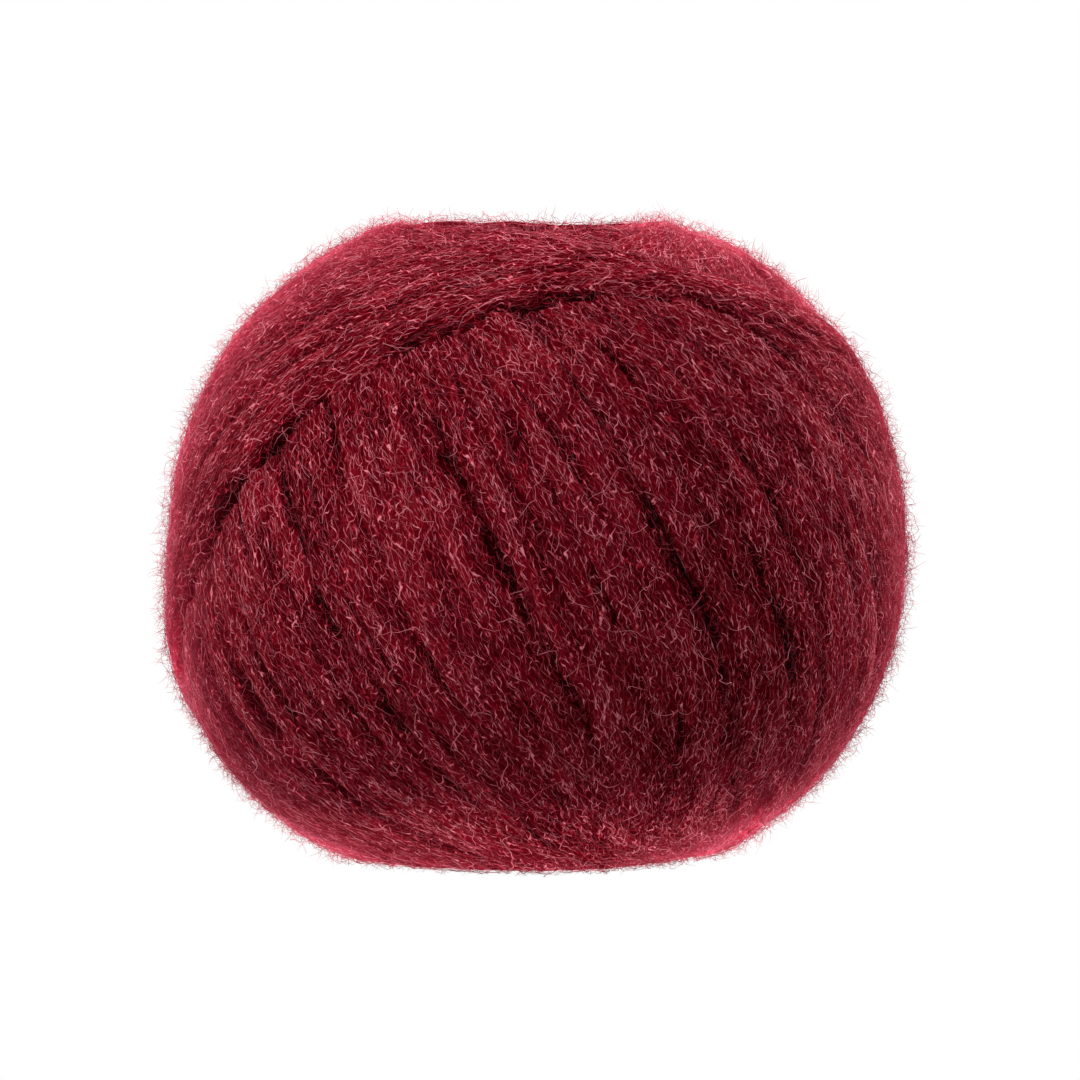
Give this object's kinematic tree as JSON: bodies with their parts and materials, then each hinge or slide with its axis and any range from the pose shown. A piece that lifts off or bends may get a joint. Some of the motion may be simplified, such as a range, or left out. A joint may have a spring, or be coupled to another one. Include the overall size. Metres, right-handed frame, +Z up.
{
  "type": "ball of yarn",
  "caption": "Machine-wound ball of brushed red yarn, broader than it is tall, with slanting turns, a shallow dish in each end and a flat ring to stand on.",
  "frame": {"origin": "middle of the flat ring that the ball stands on", "axes": "+Z up along the axis the ball was wound round; +X to the right and +Y away for someone who looks at the side where the turns fall from upper left to lower right"},
  "size_m": [0.1179, 0.1158, 0.1005],
  "materials": {
    "brushed_yarn": "matte brushed wool pile, dark red with paler fibre tips"
  },
  "bodies": {
    "root": {"yarn_ball": "brushed_yarn"}
  },
  "joints": []
}
